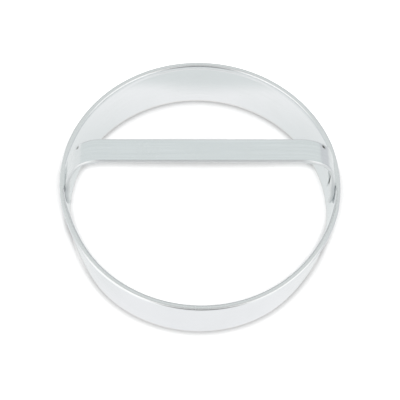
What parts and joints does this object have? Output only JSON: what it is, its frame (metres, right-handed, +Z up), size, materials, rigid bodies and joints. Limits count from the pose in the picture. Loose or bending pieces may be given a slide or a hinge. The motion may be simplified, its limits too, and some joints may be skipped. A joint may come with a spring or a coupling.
{
  "type": "round pastry cutter",
  "caption": "Open round pastry cutter: a thin sheet-metal ring with a rolled top rim and a plain lower cutting edge, under a flat strap handle with folded edges.",
  "frame": {"origin": "centre of the ring, in the plane of its lower cutting edge", "axes": "+X along the strap handle, +Z up from the cutting edge to the handle"},
  "size_m": [0.0906, 0.0906, 0.0397],
  "materials": {
    "ring_tinplate": "bright rolled tinplate, lightly scuffed",
    "strap_tinplate": "bright rolled tinplate, lightly scuffed"
  },
  "bodies": {
    "root": {"cutter_ring": "ring_tinplate", "strap_handle": "strap_tinplate"}
  },
  "joints": []
}
